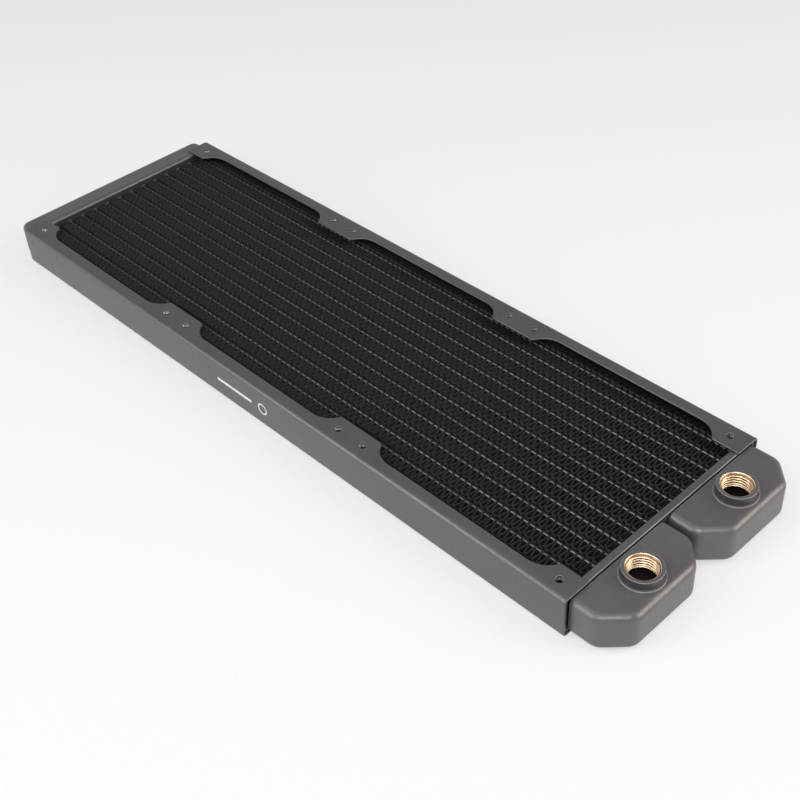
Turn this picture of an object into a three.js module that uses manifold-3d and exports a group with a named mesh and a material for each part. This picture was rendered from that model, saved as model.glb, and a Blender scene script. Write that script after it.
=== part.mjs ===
// Liquid cooling radiator for three 120 mm fans, in millimetres, +Z up.
//
// X runs along the radiator, from the return tank (-X) to the two port tanks (+X).
// Z = 0 is the underside of the housing. The origin is at the centre of the overall length and width.
// "Left" is +Y and "right" is -Y, seen from the return tank towards the ports.
// Inside the housing group, x = 0 is the centre of the fan screw pattern.
import * as THREE from "three";
import { mergeVertices } from "three/addons/utils/BufferGeometryUtils.js";
import Module from "manifold-3d";

// ---------------------------------------------------------------------------
// Driving dimensions
// ---------------------------------------------------------------------------

// Fans: three in a row, edge to edge, on the standard 120 mm screw square.
const FAN_COUNT = 3;
const FAN_PITCH = 120;
const FAN_SCREW_SPACING = 105;
const SCREW_HOLE_RADIUS = 1.6;
const SCREW_COLLAR_RADIUS = 2.4;
const SCREW_COLLAR_DEPTH = 1.5;

// Side channels: folded sheet with a web and two flanges, open towards the core.
const HOUSING_LENGTH = 362;
const HOUSING_WIDTH = 119;
const HOUSING_HEIGHT = 20;
const SHEET = 1;
const BEND_RADIUS = 2;
const TAB_EDGE_Y = 46.2;
const STRIP_EDGE_Y = 53;
const WINDOW_ARC_RADIUS = 11;
const WINDOW_ARC_FROM_FAN_CENTRE = 37.5;

// Core: flat tubes with serpentine fin strips between them.
const TUBE_COUNT = 14;
const TUBE_PITCH = 7.76;
const TUBE_THICKNESS = 1.8;
const TUBE_DEPTH = 10;
const TUBE_WALL = 0.4;
const TUBE_STAND_OUT = 1;
const FIN_DEPTH = 11.8;
const FIN_SHEET = 0.4;
const FIN_FOLDS = 16;
const FIN_CLEARANCE = 0.1;

// Header plates: pressed pans that hold the tube ends, open towards the tanks.
const HEADER_FACE_X = 176.6;
const HEADER_RIM_X = 180.3;
const HEADER_WALL = 1.2;
const HEADER_EDGE_RADIUS = 1.2;
const HEADER_CORNER_RADIUS = 1.6;
const HEADER_SIDE_GAP = 0.3;
const SLOT_CLEARANCE = 0.2;
const DIVIDER_WIDTH = 4.8;
const DIVIDER_GAP = 0.3;

// Tanks: pressed cups, open towards the header plates.
const TANK_WALL = 1.2;
const TANK_BOTTOM_Z = 1;
const TANK_TOP_Z = 18.3;
const TANK_EDGE_RADIUS = 3;
const TANK_MOUTH_X = 180.7;
const PORT_TANK_END_X = 203.6;
const PORT_TANK_INNER_Y = 1.2;
const PORT_TANK_OUTER_Y = 57;
const PORT_TANK_CHAMFER = 10.3;
const PORT_TANK_CORNER_RADIUS = 7;
const RETURN_TANK_END_X = 190.2;
const RETURN_TANK_HALF_WIDTH = 57;
const RETURN_TANK_CORNER_RADIUS = 4;

// Port bushings: turned rings with a G1/4 bore, soldered into the tank tops.
const PORT_X = 191.8;
const BORE_RADIUS = 5.75;
const MOUTH_RADIUS = 6.6;
const COLLAR_RADIUS = 8.2;
const COLLAR_HEIGHT = 4.2;
const COLLAR_EDGE = 0.3;
const SOLDER_RADIUS = 9.1;
const SOLDER_HEIGHT = 0.6;
const SLEEVE_RADIUS = 7.5;
const SLEEVE_DEPTH = 2.6;
const SLEEVE_CLEARANCE = 0.3;

// How finely round stretches are stepped.
const BEND_STEPS = 3;
const NOSE_STEPS = 4;
const WINDOW_ARC_STEPS = 5;
const HOLE_SIDES = 10;
const BUSHING_SIDES = 28;

// A cutter reaches this far past what it cuts.
const OVERCUT = 5;

// Worked out from the sizes above.
const HALF_LENGTH = HOUSING_LENGTH / 2;
const HALF_WIDTH = HOUSING_WIDTH / 2;
const MID_Z = HOUSING_HEIGHT / 2;
const WEB_INSIDE_Y = HALF_WIDTH - SHEET;
const FAN_CENTRES = Array.from({ length: FAN_COUNT }, (_, i) => (i - (FAN_COUNT - 1) / 2) * FAN_PITCH);
const PORT_Y = (PORT_TANK_INNER_Y + PORT_TANK_OUTER_Y) / 2;
const OVERALL_CENTRE_X = (PORT_TANK_END_X - RETURN_TANK_END_X) / 2;

// ---------------------------------------------------------------------------
// Finishes
// ---------------------------------------------------------------------------

const housingPaint = new THREE.MeshStandardMaterial({ color: 0x5c5a5c, roughness: 0.5, metalness: 0.15 });
const tankPaint = new THREE.MeshStandardMaterial({ color: 0x625e5e, roughness: 0.5, metalness: 0.15 });
const corePaint = new THREE.MeshStandardMaterial({ color: 0x1d1b1b, roughness: 0.6, metalness: 0.2 });
const finPaint = new THREE.MeshStandardMaterial({ color: 0x262424, roughness: 0.55, metalness: 0.3 });
const brass = new THREE.MeshStandardMaterial({ color: 0xc9a15c, roughness: 0.25, metalness: 1 });

// ---------------------------------------------------------------------------
// Outlines
// ---------------------------------------------------------------------------

// Points of an arc that rounds one corner of an outline, from one leg to the other.
function roundedCorner(before, here, after, radius, steps) {
  const toBefore = before.clone().sub(here).normalize();
  const toAfter = after.clone().sub(here).normalize();
  const halfAngle = Math.acos(toBefore.dot(toAfter)) / 2;
  const legLength = radius / Math.tan(halfAngle);
  const toCentre = toBefore.clone().add(toAfter).setLength(radius / Math.sin(halfAngle));
  const start = toBefore.multiplyScalar(legLength).sub(toCentre);
  const end = toAfter.multiplyScalar(legLength).sub(toCentre);
  const sweep = Math.atan2(start.cross(end), start.dot(end));
  const centre = here.clone().add(toCentre);
  return Array.from({ length: steps + 1 }, (_, i) =>
    start.clone().rotateAround(new THREE.Vector2(), (sweep * i) / steps).add(centre),
  );
}

// A closed outline from corners given as [x, y] or, where the corner is rounded, [x, y, radius].
function roundedOutline(corners, steps) {
  const points = corners.map(([x, y]) => new THREE.Vector2(x, y));
  return corners.flatMap(([, , radius], i) => {
    const before = points.at(i - 1);
    const after = points[(i + 1) % points.length];
    return radius ? roundedCorner(before, points[i], after, radius, steps) : [points[i]];
  });
}

// A rectangle about a centre, with all its corners rounded.
function roundedRectangle(halfWidth, halfHeight, radius, steps, centreX = 0, centreY = 0) {
  const signs = [[-1, -1], [1, -1], [1, 1], [-1, 1]];
  const corners = signs.map(([x, y]) => [centreX + x * halfWidth, centreY + y * halfHeight, radius]);
  return roundedOutline(corners, steps);
}

// The section of a flat tube, a slot with round ends, grown by a margin on every side.
function flatTubeOutline(y, margin) {
  const halfThickness = TUBE_THICKNESS / 2 + margin;
  const halfStraight = (TUBE_DEPTH - TUBE_THICKNESS) / 2;
  return [1, -1].flatMap((end) =>
    Array.from({ length: NOSE_STEPS + 1 }, (_, i) => {
      const angle = (Math.PI * i) / NOSE_STEPS;
      const noseY = y + end * halfThickness * Math.cos(angle);
      const noseZ = MID_Z + end * (halfStraight + halfThickness * Math.sin(angle));
      return new THREE.Vector2(noseY, noseZ);
    }),
  );
}

// ---------------------------------------------------------------------------
// Solids
// ---------------------------------------------------------------------------

// The shape's x and y become Y and Z, and its depth runs along X.
const ALONG_X = new THREE.Matrix4().makeBasis(
  new THREE.Vector3(0, 1, 0),
  new THREE.Vector3(0, 0, 1),
  new THREE.Vector3(1, 0, 0),
);

function shapeOf(outline, holes = []) {
  const shape = new THREE.Shape(outline);
  shape.holes = holes.map((hole) => new THREE.Path(hole));
  return shape;
}

// Extrudes an outline between two heights. With an edge radius, both end faces get a quarter-round edge.
function extrudeAlongZ(shape, from, to, edgeRadius = 0) {
  const geometry = new THREE.ExtrudeGeometry(shape, {
    depth: to - from - 2 * edgeRadius,
    bevelEnabled: edgeRadius > 0,
    bevelThickness: edgeRadius,
    bevelSize: edgeRadius,
    bevelOffset: -edgeRadius,
    bevelSegments: BEND_STEPS,
  });
  return geometry.translate(0, 0, from + edgeRadius);
}

function extrudeAlongX(shape, from, to, edgeRadius = 0) {
  return extrudeAlongZ(shape, from, to, edgeRadius).applyMatrix4(ALONG_X);
}

function boxBetween(low, high) {
  const size = high.map((value, axis) => value - low[axis]);
  const centre = high.map((value, axis) => (value + low[axis]) / 2);
  return new THREE.BoxGeometry(...size).translate(...centre);
}

function uprightCylinder(x, y, fromZ, toZ, radius, sides) {
  const cylinder = new THREE.CylinderGeometry(radius, radius, toZ - fromZ, sides);
  return cylinder.rotateX(Math.PI / 2).translate(x, y, (fromZ + toZ) / 2);
}

function solidOf(geometry) {
  const bare = geometry.clone();
  bare.deleteAttribute("normal");
  bare.deleteAttribute("uv");
  const merged = mergeVertices(bare);
  return new wasm.Manifold(
    new wasm.Mesh({
      numProp: 3,
      vertProperties: merged.attributes.position.array,
      triVerts: new Uint32Array(merged.index.array),
    }),
  );
}

function geometryOf(solid) {
  const { vertProperties, triVerts } = solid.getMesh();
  const geometry = new THREE.BufferGeometry();
  geometry.setAttribute("position", new THREE.BufferAttribute(vertProperties, 3));
  geometry.setIndex(new THREE.BufferAttribute(triVerts, 1));
  geometry.computeVertexNormals();
  return geometry;
}

// Joins the first list of geometries and cuts the second list from the result.
function carve(joined, cut) {
  const body = joined.map(solidOf).reduce((whole, solid) => whole.add(solid));
  return geometryOf(cut.map(solidOf).reduce((whole, solid) => whole.subtract(solid), body));
}

const wasm = await Module();
wasm.setup();

// ---------------------------------------------------------------------------
// Side channels
// ---------------------------------------------------------------------------

// Section of the left channel in Y and Z: the web outside, a flange above and one below.
function channelSection() {
  const insideRadius = BEND_RADIUS - SHEET;
  return roundedOutline(
    [
      [TAB_EDGE_Y, 0],
      [HALF_WIDTH, 0, BEND_RADIUS],
      [HALF_WIDTH, HOUSING_HEIGHT, BEND_RADIUS],
      [TAB_EDGE_Y, HOUSING_HEIGHT],
      [TAB_EDGE_Y, HOUSING_HEIGHT - SHEET],
      [WEB_INSIDE_Y, HOUSING_HEIGHT - SHEET, insideRadius],
      [WEB_INSIDE_Y, SHEET, insideRadius],
      [TAB_EDGE_Y, SHEET],
    ],
    BEND_STEPS,
  );
}

// What one fan's air window takes out of the left channel's flanges: a shallow bay with arcs at its ends.
function windowBay(fanX) {
  const arcCentreY = STRIP_EDGE_Y - WINDOW_ARC_RADIUS;
  const mouthY = TAB_EDGE_Y - OVERCUT / 2;
  const mouthAngle = Math.asin((mouthY - arcCentreY) / WINDOW_ARC_RADIUS);
  const arc = Array.from({ length: WINDOW_ARC_STEPS + 1 }, (_, i) => {
    const angle = mouthAngle + ((Math.PI / 2 - mouthAngle) * i) / WINDOW_ARC_STEPS;
    const fromFan = WINDOW_ARC_FROM_FAN_CENTRE + WINDOW_ARC_RADIUS * Math.cos(angle);
    return [fromFan, arcCentreY + WINDOW_ARC_RADIUS * Math.sin(angle)];
  });
  const rightEnd = arc.map(([x, y]) => new THREE.Vector2(fanX + x, y));
  const leftEnd = arc.map(([x, y]) => new THREE.Vector2(fanX - x, y)).reverse();
  return extrudeAlongZ(shapeOf([...rightEnd, ...leftEnd]), -OVERCUT, HOUSING_HEIGHT + OVERCUT);
}

// Screw holes of the left channel, each with a short collar pulled inwards for the thread.
function channelScrews() {
  const xs = FAN_CENTRES.flatMap((fanX) => [fanX - FAN_SCREW_SPACING / 2, fanX + FAN_SCREW_SPACING / 2]);
  const y = FAN_SCREW_SPACING / 2;
  const top = HOUSING_HEIGHT - SHEET / 2;
  const bottom = SHEET / 2;
  const reach = SHEET / 2 + SCREW_COLLAR_DEPTH;
  const collars = xs.flatMap((x) => [
    uprightCylinder(x, y, top - reach, top, SCREW_COLLAR_RADIUS, HOLE_SIDES),
    uprightCylinder(x, y, bottom, bottom + reach, SCREW_COLLAR_RADIUS, HOLE_SIDES),
  ]);
  const holes = xs.map((x) =>
    uprightCylinder(x, y, -OVERCUT, HOUSING_HEIGHT + OVERCUT, SCREW_HOLE_RADIUS, HOLE_SIDES),
  );
  return { collars, holes };
}

function sideChannelGeometry() {
  const { collars, holes } = channelScrews();
  const sheet = extrudeAlongX(shapeOf(channelSection()), -HALF_LENGTH, HALF_LENGTH);
  return carve([sheet, ...collars], [...FAN_CENTRES.map(windowBay), ...holes]);
}

// The two channels are the same pressing, turned half a turn about Z.
function sideChannels() {
  const geometry = sideChannelGeometry();
  const left = new THREE.Mesh(geometry, housingPaint);
  left.name = "side_channel_left";
  const right = new THREE.Mesh(geometry, housingPaint);
  right.name = "side_channel_right";
  right.rotation.z = Math.PI;
  return [left, right];
}

// ---------------------------------------------------------------------------
// Core
// ---------------------------------------------------------------------------

const tubeY = (index) => (index - (TUBE_COUNT - 1) / 2) * TUBE_PITCH;

function tubes() {
  const tubeEnd = HEADER_FACE_X + HEADER_WALL + TUBE_STAND_OUT;
  const section = shapeOf(flatTubeOutline(0, 0), [flatTubeOutline(0, -TUBE_WALL)]);
  const geometry = extrudeAlongX(section, -tubeEnd, tubeEnd);
  return Array.from({ length: TUBE_COUNT }, (_, i) => {
    const tube = new THREE.Mesh(geometry, corePaint);
    tube.name = `tube_${String(i + 1).padStart(2, "0")}`;
    tube.position.y = tubeY(i);
    return tube;
  });
}

// A fin strip folded back and forth across a gap of the given height, in X and Y.
function finStripGeometry(height) {
  const halfLength = HEADER_FACE_X - FIN_CLEARANCE;
  const bends = 2 * FIN_FOLDS;
  const side = (offset) =>
    Array.from({ length: bends + 1 }, (_, i) => {
      const x = -halfLength + (2 * halfLength * i) / bends;
      const swing = (i % 2 ? 1 : -1) * (height / 2 - FIN_SHEET / 2);
      return new THREE.Vector2(x, swing + offset);
    });
  const outline = [...side(-FIN_SHEET / 2), ...side(FIN_SHEET / 2).reverse()];
  return extrudeAlongZ(shapeOf(outline), MID_Z - FIN_DEPTH / 2, MID_Z + FIN_DEPTH / 2);
}

// One strip between each two tubes, and one between each outer tube and its channel.
function finStrips() {
  const innerHeight = TUBE_PITCH - TUBE_THICKNESS - 2 * FIN_CLEARANCE;
  const lastTubeFace = tubeY(TUBE_COUNT - 1) + TUBE_THICKNESS / 2;
  const outerHeight = WEB_INSIDE_Y - lastTubeFace - 2 * FIN_CLEARANCE;
  const outerY = (WEB_INSIDE_Y + lastTubeFace) / 2;
  const inner = finStripGeometry(innerHeight);
  const outer = finStripGeometry(outerHeight);
  return Array.from({ length: TUBE_COUNT + 1 }, (_, i) => {
    const isOuter = i === 0 || i === TUBE_COUNT;
    const strip = new THREE.Mesh(isOuter ? outer : inner, finPaint);
    strip.name = `fin_strip_${String(i + 1).padStart(2, "0")}`;
    strip.position.y = isOuter ? Math.sign(i - 1) * outerY : (tubeY(i - 1) + tubeY(i)) / 2;
    return strip;
  });
}

// ---------------------------------------------------------------------------
// Headers
// ---------------------------------------------------------------------------

// The pan at the port end. Its floor faces the core and holds the tubes, and its rim points to the tanks.
function headerPlateGeometry() {
  const halfWidth = WEB_INSIDE_Y - HEADER_SIDE_GAP;
  const halfHeight = MID_Z - SHEET;
  const floorInside = HEADER_FACE_X + HEADER_WALL;
  const outer = roundedRectangle(halfWidth, halfHeight, HEADER_CORNER_RADIUS, BEND_STEPS, 0, MID_Z);
  const inner = roundedRectangle(
    halfWidth - HEADER_WALL,
    halfHeight - HEADER_WALL,
    HEADER_CORNER_RADIUS - HEADER_WALL,
    1,
    0,
    MID_Z,
  );
  const pan = extrudeAlongX(shapeOf(outer), HEADER_FACE_X, HEADER_RIM_X + OVERCUT, HEADER_EDGE_RADIUS);
  const pocket = extrudeAlongX(shapeOf(inner), floorInside, HEADER_RIM_X + 2 * OVERCUT);
  const trim = boxBetween(
    [HEADER_RIM_X, -HOUSING_WIDTH, -OVERCUT],
    [HEADER_RIM_X + 2 * OVERCUT, HOUSING_WIDTH, HOUSING_HEIGHT + OVERCUT],
  );
  const slots = Array.from({ length: TUBE_COUNT }, (_, i) =>
    extrudeAlongX(
      shapeOf(flatTubeOutline(tubeY(i), SLOT_CLEARANCE)),
      HEADER_FACE_X - OVERCUT,
      floorInside + SLOT_CLEARANCE,
    ),
  );
  return carve([pan], [pocket, trim, ...slots]);
}

function headerPlates() {
  const geometry = headerPlateGeometry();
  const port = new THREE.Mesh(geometry, housingPaint);
  port.name = "header_plate_port";
  const back = new THREE.Mesh(geometry, housingPaint);
  back.name = "header_plate_return";
  back.rotation.z = Math.PI;
  return [port, back];
}

// The bar that parts the port header into an inlet half and an outlet half.
function headerDivider() {
  const low = SHEET + HEADER_WALL + DIVIDER_GAP;
  const geometry = boxBetween(
    [HEADER_FACE_X + HEADER_WALL + DIVIDER_GAP, -DIVIDER_WIDTH / 2, low],
    [HEADER_RIM_X, DIVIDER_WIDTH / 2, HOUSING_HEIGHT - low],
  );
  const divider = new THREE.Mesh(geometry, housingPaint);
  divider.name = "header_divider";
  return divider;
}

// ---------------------------------------------------------------------------
// Tanks
// ---------------------------------------------------------------------------

// Plan of the left port tank, moved inwards by an inset: a box with its two far corners cut at 45 degrees.
function portTankOutline(inset) {
  const endX = PORT_TANK_END_X - inset;
  const innerY = PORT_TANK_INNER_Y + inset;
  const outerY = PORT_TANK_OUTER_Y - inset;
  const chamfer = PORT_TANK_CHAMFER - inset * (2 - Math.SQRT2);
  const radius = PORT_TANK_CORNER_RADIUS - inset;
  const startX = TANK_MOUTH_X - OVERCUT;
  return roundedOutline(
    [
      [startX, innerY],
      [endX - chamfer, innerY, radius],
      [endX, innerY + chamfer, radius],
      [endX, outerY - chamfer, radius],
      [endX - chamfer, outerY, radius],
      [startX, outerY],
    ],
    BEND_STEPS,
  );
}

// Plan of the return tank, drawn as if it stood at +X: a shallow box with two rounded corners.
function returnTankOutline(inset) {
  const endX = RETURN_TANK_END_X - inset;
  const halfWidth = RETURN_TANK_HALF_WIDTH - inset;
  const radius = RETURN_TANK_CORNER_RADIUS - inset;
  const startX = TANK_MOUTH_X - OVERCUT;
  return roundedOutline(
    [
      [startX, -halfWidth],
      [endX, -halfWidth, radius],
      [endX, halfWidth, radius],
      [startX, halfWidth],
    ],
    BEND_STEPS,
  );
}

// A cup with the given plan: round-edged outside and inside, and cut off flat at its mouth.
function cupGeometry(outlineAt, cutters = []) {
  const outside = extrudeAlongZ(shapeOf(outlineAt(0)), TANK_BOTTOM_Z, TANK_TOP_Z, TANK_EDGE_RADIUS);
  const inside = extrudeAlongZ(
    shapeOf(outlineAt(TANK_WALL)),
    TANK_BOTTOM_Z + TANK_WALL,
    TANK_TOP_Z - TANK_WALL,
    TANK_EDGE_RADIUS - TANK_WALL,
  );
  const trim = boxBetween(
    [0, -HOUSING_WIDTH, -OVERCUT],
    [TANK_MOUTH_X, HOUSING_WIDTH, HOUSING_HEIGHT + OVERCUT],
  );
  return carve([outside], [inside, trim, ...cutters]);
}

function portTank(name, y) {
  const bushingHole = uprightCylinder(
    PORT_X,
    PORT_Y,
    MID_Z,
    HOUSING_HEIGHT,
    SLEEVE_RADIUS + SLEEVE_CLEARANCE,
    BUSHING_SIDES,
  );
  const tank = new THREE.Mesh(cupGeometry(portTankOutline, [bushingHole]), tankPaint);
  tank.name = name;
  tank.position.y = y;
  return tank;
}

// The port tank's plan is symmetric about the port, so the right tank is the left one moved across.
function portTanks() {
  return [portTank("port_tank_left", 0), portTank("port_tank_right", -2 * PORT_Y)];
}

function returnTank() {
  const tank = new THREE.Mesh(cupGeometry(returnTankOutline), tankPaint);
  tank.name = "return_tank";
  tank.rotation.z = Math.PI;
  return tank;
}

// ---------------------------------------------------------------------------
// Port bushings
// ---------------------------------------------------------------------------

// A ring turned about its bore, with heights counted from the tank top it is soldered to.
function bushingGeometry() {
  const chamferDepth = MOUTH_RADIUS - BORE_RADIUS;
  const profile = [
    [BORE_RADIUS, -SLEEVE_DEPTH],
    [SLEEVE_RADIUS, -SLEEVE_DEPTH],
    [SLEEVE_RADIUS, 0],
    [SOLDER_RADIUS, 0],
    [COLLAR_RADIUS, SOLDER_HEIGHT],
    [COLLAR_RADIUS, COLLAR_HEIGHT - COLLAR_EDGE],
    [COLLAR_RADIUS - COLLAR_EDGE, COLLAR_HEIGHT],
    [MOUTH_RADIUS, COLLAR_HEIGHT],
    [BORE_RADIUS, COLLAR_HEIGHT - chamferDepth],
    [BORE_RADIUS, -SLEEVE_DEPTH],
  ];
  const points = profile.map(([radius, height]) => new THREE.Vector2(radius, height));
  return new THREE.LatheGeometry(points, BUSHING_SIDES).rotateX(Math.PI / 2);
}

function portBushings() {
  const geometry = bushingGeometry();
  return [["port_bushing_left", PORT_Y], ["port_bushing_right", -PORT_Y]].map(([name, y]) => {
    const bushing = new THREE.Mesh(geometry, brass);
    bushing.name = name;
    bushing.position.set(PORT_X, y, TANK_TOP_Z);
    return bushing;
  });
}

// ---------------------------------------------------------------------------
// Assembly
// ---------------------------------------------------------------------------

function group(name, members) {
  const made = new THREE.Group();
  made.name = name;
  made.add(...members);
  return made;
}

const radiator = group("radiator", [
  group("housing", sideChannels()),
  group("core", [...tubes(), ...finStrips()]),
  group("headers", [...headerPlates(), headerDivider()]),
  group("tanks", [...portTanks(), returnTank(), ...portBushings()]),
]);
radiator.position.x = -OVERALL_CENTRE_X;

export default radiator;
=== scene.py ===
"""Looks of a slim liquid cooling radiator for three 120 mm fans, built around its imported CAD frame.

Sizes are in millimetres. A finished mesh is scaled to metres, the unit of the frame.
X runs along the radiator, from the return tank (-X) to the two port tanks (+X), and Z = 0 is its underside.
"""

import math
import random

import bmesh
import bpy
import numpy as np
from mathutils import Matrix, Vector
from mathutils.geometry import tessellate_polygon


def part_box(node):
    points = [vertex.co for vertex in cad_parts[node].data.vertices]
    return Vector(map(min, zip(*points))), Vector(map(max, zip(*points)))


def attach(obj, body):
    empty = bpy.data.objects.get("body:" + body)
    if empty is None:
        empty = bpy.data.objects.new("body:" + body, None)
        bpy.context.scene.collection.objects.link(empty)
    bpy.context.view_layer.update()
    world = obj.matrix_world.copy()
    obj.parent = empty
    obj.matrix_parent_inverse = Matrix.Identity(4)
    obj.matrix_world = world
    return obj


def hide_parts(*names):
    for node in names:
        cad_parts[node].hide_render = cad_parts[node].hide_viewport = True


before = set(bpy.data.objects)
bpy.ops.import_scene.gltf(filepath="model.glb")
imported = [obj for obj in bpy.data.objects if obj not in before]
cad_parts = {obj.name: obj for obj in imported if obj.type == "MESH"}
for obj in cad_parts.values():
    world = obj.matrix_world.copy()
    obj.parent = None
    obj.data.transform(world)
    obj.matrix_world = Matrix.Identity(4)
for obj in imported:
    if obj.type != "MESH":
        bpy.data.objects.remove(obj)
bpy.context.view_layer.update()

# ---------------------------------------------------------------------------
# Sizes
# ---------------------------------------------------------------------------

MM = 0.001

# Fans: three in a row, edge to edge, on the standard screw square.
FAN_PITCH = 120.0
FAN_OFFSETS = (-FAN_PITCH, 0.0, FAN_PITCH)
SCREW_SPACING = 105.0

# Side channels: folded sheet.
SHEET = 1.0
BEND_RADIUS = 2.0
BEND_STEPS = 8
BAY_FLOOR_Y = 53.0
BAY_ARC_RADIUS = 11.0
BAY_ARC_FROM_FAN = 37.5
BAY_ARC_STEPS = 14
TAB_CORNER_RADIUS = 1.8
TAB_CORNER_STEPS = 6
SHEET_EDGE = 0.4

# Both kinds of thread. A groove's depth is the slope times the distance from the crest's middle, less the
# flat. It runs from 0 on the crest to 1 in the root, and the distance is a share of the pitch.
GROOVE_SLOPE = 2.6
CREST_FLAT = 0.18
THREAD_ROWS_PER_TURN = 12

# Tapped screw holes, each with a short collar pulled inwards.
HOLE_RADIUS = 1.62
HOLE_SIDES = 32
HOLE_THREAD_PITCH = 0.8
HOLE_THREAD_HEIGHT = 0.22
COLLAR_RADIUS = 2.4
COLLAR_REACH = 1.5
COLLAR_FILLET = 0.4

# Port bushings with a G1/4 thread.
BUSHING_SIDES = 96
MOUTH_RADIUS = 6.75
THREAD_CREST_RADIUS = 5.75
THREAD_HEIGHT = 0.82
THREAD_PITCH = 1.337
ROOT_SHARE = 0.42
BUSHING_RADIUS = 8.2
BUSHING_EDGE = 0.22
BUSHING_FOOT = 0.6
LIP = 0.1
SOLDER_RADIUS = 9.1
SOLDER_BEAD = 0.4
SLEEVE_RADIUS = 7.5
SLEEVE_GAP = 0.3

# Header pans.
PAN_WALL = 1.2
PAN_FLOOR_EDGE = 1.2
PAN_CORNER = 1.6
PAN_RIM_EDGE = 0.35
SOLDER_FOOT = 0.8
SOLDER_CLIMB = 0.6
INNER_FOOT = 0.4

# Tanks.
TANK_WALL = 1.2
TANK_EDGE = 3.0
TANK_EDGE_STEPS = 8
TANK_RIM_EDGE = 0.4
SPIGOT_INSET = 0.3
SPIGOT_LENGTH = 0.35
PORT_TANK_CHAMFER = 10.3
PORT_TANK_CORNER = 7.0
RETURN_TANK_CORNER = 4.0
TANK_CORNER_STEPS = 10

# Flat tubes.
TUBE_WALL = 0.4
NOSE_STEPS = 10
TUBE_RIM_EDGE = 0.12

# Fin strips: thin sheet folded into narrow-mouthed loops, with louvred walls.
FOLD_PITCH = 3.35
CREST_LENGTH = 2.7
CREST_TILT = 0.13
FOLD_CORNER_RADIUS = 0.55
FOLD_CORNER_STEPS = 3
FIN_SHEET = 0.15
FIN_END_GAP = 0.4
FIN_DEPTH_STAGGER = 0.1
FIN_SIDE_GAP = 0.03
FOLD_JITTER = 0.11
LOUVRE_SWING = 0.14
LOUVRE_ROWS = 6
LOUVRE_SHARE = 0.9

# Solder beads along the strips' edges. A bead fades out over BEAD_FADE of a strip's half height, and its
# material starts where BEAD_FACE_SHARE of it is left. Each level of an edge is (distance from the edge,
# share of the bead's thickness, share of the sheet's thickness).
BEAD_THICKNESS = 0.34
BEAD_REACH = 0.7
BEAD_VARIATION = 0.09
BEAD_FADE = 0.2
BEAD_FACE_SHARE = 0.3
EDGE_LEVELS = ((0.0, 0.45, 0.6), (0.12, 0.9, 1.0), (0.32, 0.8, 1.0))

# Distance from the core's middle plane where its painted shade is deepest, and where the painted shade ends.
CORE_FULL_SHADE_Z = 3.4
CORE_SHADE_END_Z = 5.6

# Generic print on the right channel's web: a bar and a ring, placed from the middle of the overall length.
PRINT_BAR_X = -16.5
PRINT_BAR_LENGTH = 24.0
PRINT_BAR_HEIGHT = 1.5
PRINT_RING_X = 3.0
PRINT_RING_RADIUS = 2.6
PRINT_RING_LINE = 0.7
PRINT_SKIN = 0.2

# The divider is the one piece that keeps its CAD mesh.
DIVIDER_EDGE = 0.3
DIVIDER_EDGE_STEPS = 2

# A flat face keeps a narrow flat strip of this width beside each rounded edge, so that it shades flat.
HOLD = 0.08
ROUND_STEPS = 4
SMOOTH_BELOW = math.radians(40)

# ---------------------------------------------------------------------------
# Places, from the frame
# ---------------------------------------------------------------------------


def box_mm(node):
    """Lowest and highest corner of a CAD node, in millimetres."""
    low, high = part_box(node)
    return low / MM, high / MM


channel_low, channel_high = box_mm("side_channel_left")
PATTERN_X = (channel_low.x + channel_high.x) / 2
HALF_LENGTH = (channel_high.x - channel_low.x) / 2
OUTSIDE_Y = channel_high.y
TAB_Y = channel_low.y
HOUSING_HEIGHT = channel_high.z
MID_Z = HOUSING_HEIGHT / 2
FLANGE_LINE_Y = OUTSIDE_Y - BEND_RADIUS
HALF_TURN = Matrix.Rotation(math.pi, 4, "Z")
TUBE_NAMES = sorted(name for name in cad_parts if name.startswith("tube_"))
FIN_NAMES = sorted(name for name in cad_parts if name.startswith("fin_strip_"))

# ---------------------------------------------------------------------------
# Outlines: lists of 2-D points, anticlockwise where they are closed
# ---------------------------------------------------------------------------


def arc(centre, radius, start, end, steps):
    """Points of an arc between two angles in radians."""
    angles = [start + (end - start) * i / steps for i in range(steps + 1)]
    return [Vector((centre[0] + radius * math.cos(a), centre[1] + radius * math.sin(a))) for a in angles]


def circle(centre, radius, sides):
    """Corners of a regular polygon that stands for a circle."""
    return arc(centre, radius, 0, math.tau, sides)[:-1]


def rounded_corner(before, here, after, radius, steps):
    """Points of the arc that rounds one corner of an outline."""
    to_before = (before - here).normalized()
    to_after = (after - here).normalized()
    half_angle = to_before.angle(to_after) / 2
    leg = radius / math.tan(half_angle)
    centre = here + (to_before + to_after).normalized() * (radius / math.sin(half_angle))
    first = here + to_before * leg - centre
    last = here + to_after * leg - centre
    start = math.atan2(first.y, first.x)
    sweep = math.atan2(first.x * last.y - first.y * last.x, first.dot(last))
    return arc(centre, radius, start, start + sweep, steps)


def rounded_path(corners, steps, closed=False):
    """A path through corners given as (x, y, radius). A radius of 0 leaves the corner sharp."""
    points = [Vector(corner[:2]) for corner in corners]
    path = []
    for i, corner in enumerate(corners):
        at_end = not closed and i in (0, len(corners) - 1)
        if at_end or corner[2] == 0:
            path.append(points[i])
            continue
        after = points[(i + 1) % len(points)]
        path.extend(rounded_corner(points[i - 1], points[i], after, corner[2], steps))
    return path


def rounded_rectangle(half_width, half_height, radius, steps):
    """A rectangle round the origin, with its four corners rounded."""
    signs = ((-1, -1), (1, -1), (1, 1), (-1, 1))
    corners = [(x * half_width, y * half_height, radius) for x, y in signs]
    return rounded_path(corners, steps, closed=True)


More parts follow.
